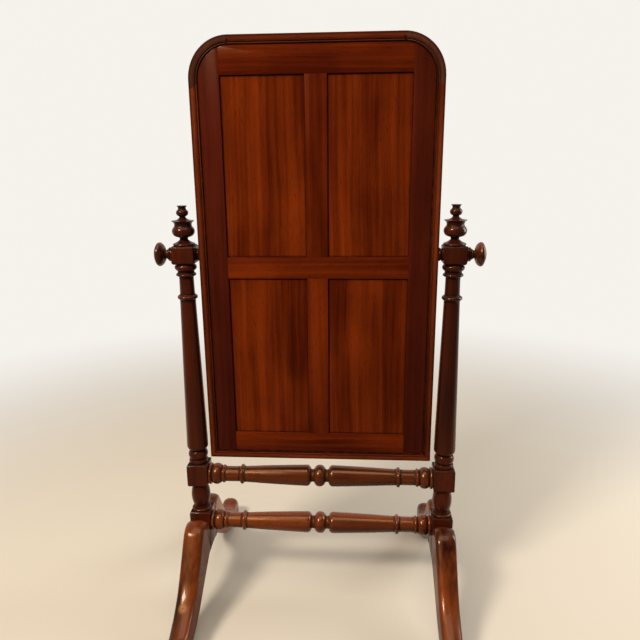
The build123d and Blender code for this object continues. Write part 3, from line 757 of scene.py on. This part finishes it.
class CHEVAL_OT_stage(bpy.types.Operator):
    """Make the pale floor, the soft lights and the camera"""

    bl_idname = "cheval.stage"
    bl_label = "Stage"

    def execute(self, context):
        corners = [(a * FLOOR_REACH, b * FLOOR_REACH, 0) for a, b in SQUARE]
        floor = solid_from("floor", corners, [(0, 1, 2, 3)])
        paint, tree, sockets, where = principled("pale_floor")
        gap = add_node(tree, "ShaderNodeVectorMath", {0: where}, operation="LENGTH")["Value"]
        far = spread(tree, gap, *FLOOR_FADE)
        behind = spread(tree, add_node(tree, "ShaderNodeSeparateXYZ", {0: where})["Y"], *FLOOR_TURN)
        seen = add_node(tree, "ShaderNodeLightPath")["Is Camera Ray"]
        near = blend_colour(tree, seen, blend_colour(tree, behind, FLOOR_COLOUR, FLOOR_BOUNCE), FLOOR_COLOUR)
        room = blend_colour(tree, seen, blend_colour(tree, behind, ROOM_FRONT, ROOM_BACK), ROOM_COLOUR)
        look = {
            "Base Color": blend_colour(tree, far, near, BLACK),
            "Emission Color": blend_colour(tree, far, BLACK, room),
            "Emission Strength": 1.0,
            "Specular IOR Level": 0.0,
        }
        wire_all(tree, look, sockets)
        floor.data.materials.append(paint)

        self.light("key", (1.9, 2.2, 3.3), 0.9, 0.7, 150, (1.0, 0.95, 0.88))
        self.light("window", (-2.3, -0.5, 1.5), 0.7, 1.7, 42, (0.88, 0.93, 1.0))
        self.light("overhead", (0.1, 0.6, 3.6), 2.4, 2.0, 45, (1.0, 0.97, 0.93))

        world = bpy.data.worlds.new("studio")
        world.use_nodes = True
        tree = world.node_tree
        seen = add_node(tree, "ShaderNodeLightPath")["Is Camera Ray"]
        way = add_node(tree, "ShaderNodeTexCoord")["Generated"]
        way = add_node(tree, "ShaderNodeSeparateXYZ", {0: way})["Y"]
        lit = blend_colour(tree, spread(tree, way, *WORLD_TURN), ROOM_FRONT, ROOM_BACK)
        wire(tree, blend_colour(tree, seen, lit, ROOM_COLOUR), tree.nodes["Background"].inputs["Color"])
        context.scene.world = world
        context.scene.view_settings.view_transform = "Standard"

        lens = bpy.data.cameras.new("camera")
        lens.lens = 33.23
        lens.sensor_width = 36.0
        camera = link(bpy.data.objects.new("camera", lens))
        heading, pitch, roll = math.radians(183.55), math.radians(90 - 14.85), math.radians(-0.52)
        turn = Matrix.Rotation(heading, 4, "Z") @ Matrix.Rotation(pitch, 4, "X") @ Matrix.Rotation(roll, 4, "Z")
        camera.matrix_world = Matrix.Translation((-0.095, 1.462, 1.199)) @ turn
        context.scene.camera = camera
        return {"FINISHED"}

    @staticmethod
    def light(name, location, width, height, power, colour):
        """A soft rectangular light aimed at the middle of the mirror."""
        data = bpy.data.lights.new(name, "AREA")
        data.shape = "RECTANGLE"
        data.size, data.size_y = width, height
        data.energy = power
        data.color = colour
        lamp = link(bpy.data.objects.new(name, data))
        aim = Vector((0, 0, 0.8)) - Vector(location)
        lamp.matrix_world = Matrix.Translation(location) @ aim.to_track_quat("-Z", "Y").to_matrix().to_4x4()


class CHEVAL_OT_posts(bpy.types.Operator):
    """Make the two turned posts with their square blocks"""

    bl_idname = "cheval.posts"
    bl_label = "Posts"

    def execute(self, context):
        sizes = context.scene.cheval_sizes
        material = finish("post_polish")
        for hand, side in SIDES.items():
            x = side * POST_X
            for part, steps in zip(("lower", "upper"), POST_TURNINGS):
                made = turning(f"{hand}_post_{part}_turning", steps, (x, 0, 0), (0, 0, 1), sizes.around, material)
                place(made, "root", material, [f"{hand}_post"], board=1.1 + side)
            for part, (low, high) in zip(("lower", "middle", "top"), BLOCKS):
                made = self.block(f"{hand}_post_{part}_block", x, low, high, sizes.block_bevel)
                place(made, "root", material, board=1.1 + side)
        return {"FINISHED"}

    @staticmethod
    def block(name, x, low, high, cut):
        """A square block, bevelled round its ends, with dirt and painted shade where it meets the turning."""
        half = BLOCK / 2
        levels = [(low, half - cut), (low + cut, half), (low + cut + 3, half), (high - cut - 3, half),
                  (high - cut, half), (high, half - cut)]
        vertices = [(x, 0, low)]
        for z, reach in levels:
            vertices += [(x + a * reach, b * reach, z) for a, b in SQUARE]
        vertices.append((x, 0, high))
        faces = rings(len(levels), 4, 1)
        last = 1 + (len(levels) - 1) * 4
        faces += [(0, 1 + (i + 1) % 4, 1 + i) for i in range(4)]
        faces += [(last + i, last + (i + 1) % 4, len(vertices) - 1) for i in range(4)]
        made = solid_from(name, vertices, faces)
        tidy_mesh(made.data)
        bevel(made, 0.9, 3, 30)
        ends = [min(v.co.z / MM - low, high - v.co.z / MM) for v in made.data.vertices]
        # darker towards the ends: dirt and painted shade where the block meets the turning
        store(made.data, "hollow", [max(0.0, 1.0 - end / (cut * BLOCK_DIRT_AND_SHADE)) for end in ends])
        edges = [min(abs(abs(v.co.x / MM - x) - half), abs(abs(v.co.y / MM) - half)) for v in made.data.vertices]
        store(made.data, "proud", [0.7 if edge < 1.2 and end > cut else 0.0 for edge, end in zip(edges, ends)])
        return made


class CHEVAL_OT_finials(bpy.types.Operator):
    """Make the turned finials on the posts"""

    bl_idname = "cheval.finials"
    bl_label = "Finials"

    def execute(self, context):
        material = finish("post_polish")
        for hand, side in SIDES.items():
            made = turning(f"{hand}_finial_turning", FINIAL_TURNING, (side * POST_X, 0, 0), (0, 0, 1),
                           context.scene.cheval_sizes.around, material)
            place(made, "root", material, [f"{hand}_finial"], board=2.3 + side)
        return {"FINISHED"}


class CHEVAL_OT_stretchers(bpy.types.Operator):
    """Make the two turned stretchers between the posts"""

    bl_idname = "cheval.stretchers"
    bl_label = "Stretchers"

    def execute(self, context):
        material = finish("stretcher_polish")
        half = outline(STRETCHER_TURNING + [(INNER_FACE, 24.6), (INNER_FACE, 11.9), (INNER_FACE + 20, 11.9),
                                            (INNER_FACE + 20, 0)])
        whole = [(-x, r) for x, r in reversed(half)] + half[1:]
        for number, name in enumerate(("lower_stretcher", "upper_stretcher")):
            low, high = box_mm(name)
            z = (low.z + high.z) / 2
            made = turning(name + "_turning", whole, (0, 0, z), (1, 0, 0), context.scene.cheval_sizes.around, material)
            place(made, "root", material, [name], board=5.2 + number)
        return {"FINISHED"}


class CHEVAL_OT_legs(bpy.types.Operator):
    """Make the four scroll legs"""

    bl_idname = "cheval.legs"
    bl_label = "Legs"

    def execute(self, context):
        for hand, side in SIDES.items():
            for face, end in ENDS.items():
                made = self.leg(f"{hand}_{face}_scroll_leg", side * POST_X, end, context.scene.cheval_sizes.leg_crown)
                material = finish(f"leg_{face}_polish")
                place(made, "root", material, [f"{hand}_{face}_leg"], board=3.0 + side * 0.7 + end)
        return {"FINISHED"}

    @staticmethod
    def leg(name, x, end, crown):
        """A leg made in slices across its width, crowned along its top and tapering to its toe."""
        top, under = rounded(LEG_TOP, LEG_TOP_R), rounded(LEG_UNDER, LEG_UNDER_R)
        ring = len(top) + len(under)
        half = BLOCK / 2

        def width(r):
            return half + (LEG_TOE - half) * (r - half) / (LEG_REACH - half)

        vertices, hollow = [], []
        for i in range(LEG_SLICES + 1):
            angle = math.pi * (i / LEG_SLICES - 0.5)
            for k, corner in enumerate(top):
                before, after = top[max(0, k - 1)], top[min(len(top) - 1, k + 1)]
                along = (Vector(after) - Vector(before)).normalized()
                share = (corner[0] - half) / (LEG_REACH - half)
                power = 2 / (3.0 - 0.8 * share)
                fall = crown * (1 + 0.5 * share) * (1 - math.cos(angle) ** power)
                point = Vector(corner) + Vector((along.y, -along.x)) * fall
                if k == 0:
                    point -= along * (point.x - half) / along.x
                if k == len(top) - 1:
                    point.y = 0
                t = math.copysign(abs(math.sin(angle)) ** power, angle)
                vertices.append((x + t * width(point.x), end * max(point.x, half), max(point.y, 0)))
                # darker near the post: dirt and painted shade where the leg meets its block
                hollow.append(max(0.0, 1.0 - (point.x - half) / LEG_DIRT_AND_SHADE))
            for r, z in under:
                t = math.copysign(abs(math.sin(angle)) ** 0.5, angle)
                z += LEG_UNDER_ARRIS * (1 - math.cos(angle) ** 0.5) * min(1.0, (r - half) / 60)
                vertices.append((x + t * width(r), end * r, z))
                # painted shade: the whole underside is darkened a little, and more near the post
                hollow.append(max(0.12, 1.0 - (r - half) / LEG_DIRT_AND_SHADE))
        ends = [tuple(range(ring)), tuple(range(LEG_SLICES * ring, (LEG_SLICES + 1) * ring))]
        made = solid_from(name, vertices, ends + rings(LEG_SLICES + 1, ring))
        store(made.data, "hollow", hollow)
        tidy_mesh(made.data)
        return made


class CHEVAL_OT_pivots(bpy.types.Operator):
    """Make the clamp knobs, the collars and spacers, and give the pivot metalwork, dowels and glazing blocks their
    materials
    """

    bl_idname = "cheval.pivots"
    bl_label = "Knobs and Pivots"

    def execute(self, context):
        around = context.scene.cheval_sizes.around
        dark, knob = finish("post_polish"), finish("knob_polish")
        for hand, side in SIDES.items():
            face, tip = sorted(abs(corner.x) for corner in box_mm(f"{hand}_knob"))
            rim = tip - DOME_RISE
            sphere = (DOME_R ** 2 + DOME_RISE ** 2) / (2 * DOME_RISE)
            middle = tip - sphere + math.sqrt(sphere ** 2 - (DOME_R / 2) ** 2)
            steps = [
                (face, 4.5), (face, 12.4), ((face + 2, 13.4), (face + 4, 12.2)), (face + 4.6, 11.2),
                ((face + 7.5, 10.2), (face + 11, 11.8)), ((face + 14, 23), (face + 22, 29.9)),
                ((face + 25.6, 29.8), (rim, DOME_R)), ((middle, DOME_R / 2), (tip, 0)),
            ]
            made = turning(f"{hand}_clamp_knob", steps, (0, 0, PIVOT_Z), (side, 0, 0), around, knob)
            place(made, f"{hand}_knob", knob, [f"{hand}_knob"], board=6.0 + side)
            out, gap = OUTER_FACE, HALF_FRAME + SPACER_CLEARANCE
            washers = {
                "collar": [
                    (out, BORE_R), (out, 18), ((out + 3, 19.6), (out + 6, 18)), (out + 6.5, 16.6), (out + 7, 16),
                    ((out + 9.6, 17.4), (out + 12.2, 15)), (out + 12.2, BORE_R), (out, BORE_R),
                ],
                "spacer": [
                    (gap, BORE_R), (gap, 14.5), ((gap + 3, 16.5), (gap + 6, 14.5)), (gap + 7, 13.5),
                    (INNER_FACE - 3, 14), (INNER_FACE - 2, 16.5), (INNER_FACE, 16.5), (INNER_FACE, BORE_R),
                    (gap, BORE_R),
                ],
            }
            for part, ring in washers.items():
                made = turning(f"{hand}_{part}_turning", ring, (0, 0, PIVOT_Z), (side, 0, 0), around, dark)
                place(made, "root", dark, [f"{hand}_{part}"], board=7.0 + side)
            dress(f"{hand}_pivot_screw", "plain_steel")
            dress(f"{hand}_pivot_plate", "old_brass")
        dress("pivot_plate_screws", "old_brass")
        dress("leg_dowels", "plain_deal")
        dress("glazing_blocks", "plain_deal")
        return {"FINISHED"}


def dress(node, key):
    """Give a CAD node that stays a procedural material."""
    obj = frame["nodes"][node]
    obj.data.materials.clear()
    obj.data.materials.append(finish(key))


class CHEVAL_OT_frame(bpy.types.Operator):
    """Make the moulded frame of the mirror"""

    bl_idname = "cheval.frame"
    bl_label = "Mirror Frame"

    SECTION = [
        (0, -14), ((0.9, -16.1), (3, -17)), (15, -17), (15.1, -16.4), (15.2, -15.6), (16.5, -15.6),
        ((27.5, -13.8), (35.5, -9)), (36, -8.8), (37, -9), ((40.5, -12.2), (SIGHT, -9)), (SIGHT, -5),
        (REBATE, -5), (REBATE, 2), (BAND, 2), (BAND, 14.2), ((19.4, 16.9), (16.8, 14.2)), (16.2, 13.6),
        (15.6, 14.2), (15.6, 16.2), ((15.3, 16.9), (14.6, 17)), (2.2, 17), ((0.6, 16.4), (0, 14.8)), (0, -14),
    ]

    def execute(self, context):
        rise, up = Vector((0, 1, 0)), Vector((0, 0, 1))
        down, across = JOINTS
        section = outline(self.SECTION)
        for hand, side in SIDES.items():
            inward = Vector((-side, 0, 0))
            edge = side * HALF_FRAME
            foot = ((edge, 0, FRAME_BOTTOM + JOINT_GAP), inward + up, rise)
            head = ((edge, 0, FRAME_TOP - down - JOINT_GAP), inward + up * JOINT_SLANT, rise)
            middle = ((edge, 0, PIVOT_Z), inward, rise)
            self.member(f"frame_{hand}_side", [foot, middle, head], section, "band_polish", 8.0 + side)
            centre = Vector((side * (HALF_FRAME - CORNER_R), 0, FRAME_TOP - CORNER_R))
            stations = [((edge, 0, FRAME_TOP - down + JOINT_GAP), inward + up * JOINT_SLANT, rise)]
            for i in range(CORNER_STEPS + 1):
                angle = math.radians(90) * i / CORNER_STEPS
                out = Vector((side * math.cos(angle), 0, math.sin(angle)))
                stations.append((centre + out * CORNER_R, -out, rise))
            level = Vector((side * JOINT_SLANT, 0, -1))
            stations.append(((side * (HALF_FRAME - across + JOINT_GAP), 0, FRAME_TOP), level, rise))
            self.member(f"frame_top_{hand}_corner", stations, section, "corner_polish", 9.5 + side)
        ends = [((side * (HALF_FRAME - across - JOINT_GAP), 0, FRAME_TOP), Vector((side * JOINT_SLANT, 0, -1)), rise)
                for side in (-1, 1)]
        self.member("frame_top_rail", ends, section, "band_across_polish", 11.0)
        ends = [((side * (HALF_FRAME - JOINT_GAP), 0, FRAME_BOTTOM), Vector((-side, 0, 1)), rise) for side in (1, -1)]
        self.member("frame_bottom_rail", ends, section, "band_across_polish", 12.0)
        return {"FINISHED"}

    @staticmethod
    def member(node, stations, section, key, board):
        """One length of the frame, from its first station to its last."""
        material = finish(key)
        made = sweep(node + "_moulding", stations, section, 1, material)
        place(made, "mirror", material, [node], board=board)


class CHEVAL_OT_back(bpy.types.Operator):
    """Make the panelled back of the mirror"""

    bl_idname = "cheval.back"
    bl_label = "Panelled Back"

    def execute(self, context):
        arris = context.scene.cheval_sizes.arris
        boards = ("left_stile", "right_stile", "top_rail", "middle_rail", "bottom_rail", "upper_muntin", "lower_muntin")
        for number, name in enumerate(boards):
            node, key = "back_" + name, name.split("_")[1] + "_polish"
            made = bevel(copy_of(node, node + "_board"), arris, 2, 60)
            place(made, "mirror", finish(key), [node], board=13.0 + number)
        for number, row in enumerate(("upper", "lower")):
            for hand, side in SIDES.items():
                node = f"back_{row}_{hand}_panel"
                made = self.panel(node)
                place(made, "mirror", finish("panel_polish"), [node], board=21.0 + number * 2 + side)
        return {"FINISHED"}

    @staticmethod
    def panel(node):
        """A flat panel whose visible border is darkened by dirt and a painted shadow where it goes into its frame."""
        low, high = box_mm(node)
        inset = [0] + [PANEL_HIDDEN + d for d in (-0.5, 1.5, 5, 14)]
        xs = [low.x + d for d in inset] + [high.x - d for d in reversed(inset)]
        zs = [low.z + d for d in inset] + [high.z - d for d in reversed(inset)]
        made = gridded_box(node + "_board", (xs, zs), (low.y, high.y))
        tidy_mesh(made.data)
        dirt_and_shade = []
        for vertex in made.data.vertices:
            x, z = vertex.co.x / MM, vertex.co.z / MM
            # darker towards the frame: dirt and a painted shadow line
            depth = min(x - low.x, high.x - x, z - low.z, high.z - z) - PANEL_HIDDEN
            dirt_and_shade.append(max(0.0, min(1.0, 1.0 - depth / PANEL_DIRT_AND_SHADE)) if depth < 3 else 0.0)
        store(made.data, "hollow", dirt_and_shade)
        return made


class CHEVAL_OT_plate(bpy.types.Operator):
    """Make the silvered plate"""

    bl_idname = "cheval.plate"
    bl_label = "Plate"

    def execute(self, context):
        low, high = box_mm("mirror_plate")
        radius = CORNER_R - (HALF_FRAME - high.x)
        half = high.x
        loops = []
        for inset in PLATE_FOXING:
            reach, top, round_r = half - inset, high.z - inset, max(radius - inset, 6)
            loop = [(-reach, low.z + inset), (reach, low.z + inset)]
            for number, side in enumerate((1, -1)):
                for i in range(CORNER_STEPS + 1):
                    angle = math.radians(90) * (number + i / CORNER_STEPS)
                    centre = side * (reach - round_r)
                    loop.append((centre + round_r * math.cos(angle), top - round_r + round_r * math.sin(angle)))
            loops.append(loop)
        count = len(loops[0])
        vertices, edge = [], []
        for share, loop in zip(PLATE_FOXING.values(), loops):
            vertices += [(x, low.y, z) for x, z in loop]
            edge += [share] * count
        vertices += [(x, high.y, z) for x, z in loops[0]]
        edge += [1.0] * count
        faces = rings(4, count)
        faces.append(tuple(range(3 * count, 4 * count)))
        faces += [(i, (i + 1) % count, 4 * count + (i + 1) % count, 4 * count + i) for i in range(count)]
        faces.append(tuple(range(4 * count, 5 * count)))
        made = solid_from("silvered_mirror_plate", vertices, faces)
        store(made.data, "hollow", edge)
        tidy_mesh(made.data)
        place(made, "mirror", finish("silvered_plate"), ["mirror_plate"])
        return {"FINISHED"}


class CHEVAL_PT_panel(bpy.types.Panel):
    """Buttons and settings for the mirror"""

    bl_idname = "CHEVAL_PT_panel"
    bl_label = "Cheval Mirror"
    bl_space_type = "VIEW_3D"
    bl_region_type = "UI"
    bl_category = "Cheval Mirror"

    def draw(self, context):
        for group in (context.scene.cheval_sizes, context.scene.cheval_finish):
            for key in group.bl_rna.properties.keys():
                if key not in ("rna_type", "name"):
                    self.layout.prop(group, key)
        for operator in OPERATORS:
            self.layout.operator(operator.bl_idname)


OPERATORS = (
    CHEVAL_OT_stage,
    CHEVAL_OT_posts,
    CHEVAL_OT_finials,
    CHEVAL_OT_stretchers,
    CHEVAL_OT_legs,
    CHEVAL_OT_pivots,
    CHEVAL_OT_frame,
    CHEVAL_OT_back,
    CHEVAL_OT_plate,
)
CLASSES = (ChevalSizes, ChevalFinish, *OPERATORS, CHEVAL_PT_panel)


def register():
    """Register the classes and the two groups of settings."""
    for cls in CLASSES:
        bpy.utils.register_class(cls)
    bpy.types.Scene.cheval_sizes = bpy.props.PointerProperty(type=ChevalSizes)
    bpy.types.Scene.cheval_finish = bpy.props.PointerProperty(type=ChevalFinish)


def unregister():
    """Take everything away again."""
    del bpy.types.Scene.cheval_finish
    del bpy.types.Scene.cheval_sizes
    for cls in reversed(CLASSES):
        bpy.utils.unregister_class(cls)


def main():
    """Build the whole mirror."""
    register()
    for operator in OPERATORS:
        getattr(bpy.ops.cheval, operator.bl_idname.split(".")[1])()


if __name__ == "__main__":
    main()
